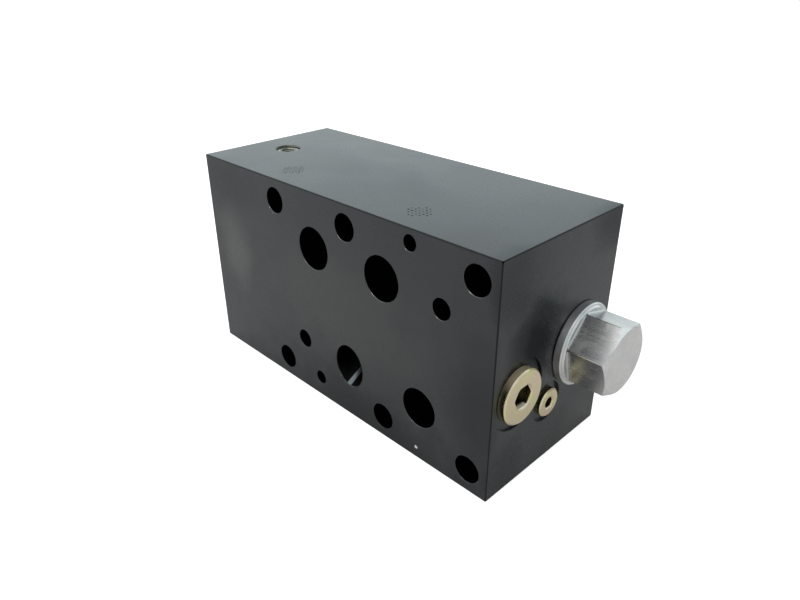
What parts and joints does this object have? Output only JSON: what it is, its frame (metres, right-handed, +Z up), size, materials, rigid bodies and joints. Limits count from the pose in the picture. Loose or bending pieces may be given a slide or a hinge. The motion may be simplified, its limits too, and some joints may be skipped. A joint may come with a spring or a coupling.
{
  "type": "hydraulic sandwich valve",
  "caption": "Black steel sandwich plate for a stack of hydraulic valves, with through ports, clamping holes, a flanged hexagon plug and socket plugs.",
  "frame": {"origin": "middle of the long lower face that the block rests on", "axes": "+X along the block towards the end with the hexagon plug, +Y from the valve side to the subplate side, +Z up"},
  "size_m": [0.2284, 0.094, 0.115],
  "materials": {
    "black_block": "satin",
    "bright_steel": "satin",
    "yellow_zinc": "satin",
    "ground_steel": "satin",
    "spring_wire": "satin",
    "seal_rubber": "matte"
  },
  "bodies": {
    "block": {"valve_body": "black_block", "pump_port_seal": "seal_rubber", "tank_port_seal": "seal_rubber", "service_port_seal": "seal_rubber", "opposite_port_seal": "seal_rubber", "pilot_port_seal": "seal_rubber", "drain_port_seal": "seal_rubber", "upper_locating_pin": "ground_steel", "lower_locating_pin": "ground_steel", "hexagon_plug": "bright_steel", "hexagon_plug_seal": "seal_rubber", "large_collar_plug": "yellow_zinc", "large_collar_plug_seal": "seal_rubber", "small_collar_plug": "yellow_zinc", "small_collar_plug_seal": "seal_rubber", "recessed_plug": "yellow_zinc", "spring_base": "ground_steel", "spool_spring": "spring_wire", "bypass_seat": "ground_steel", "bypass_spacer": "ground_steel", "bypass_spring": "spring_wire"},
    "spool": {"load_spool": "ground_steel", "orifice_screw": "ground_steel", "spring_guide": "ground_steel"},
    "poppet": {"bypass_poppet": "ground_steel"}
  },
  "joints": [
    {"name": "spool_slide", "type": "slide", "parent": "block", "child": "spool", "axis": [-1, 0, 0], "range_m": [0, 0.009], "stiffness_N_per_m": 20000, "springref_m": -0.002, "deforming": ["spool_spring"]},
    {"name": "poppet_lift", "type": "slide", "parent": "block", "child": "poppet", "axis": [1, 0, 0], "range_m": [0, 0.004], "stiffness_N_per_m": 1500, "springref_m": -0.001, "deforming": ["bypass_spring"]}
  ]
}
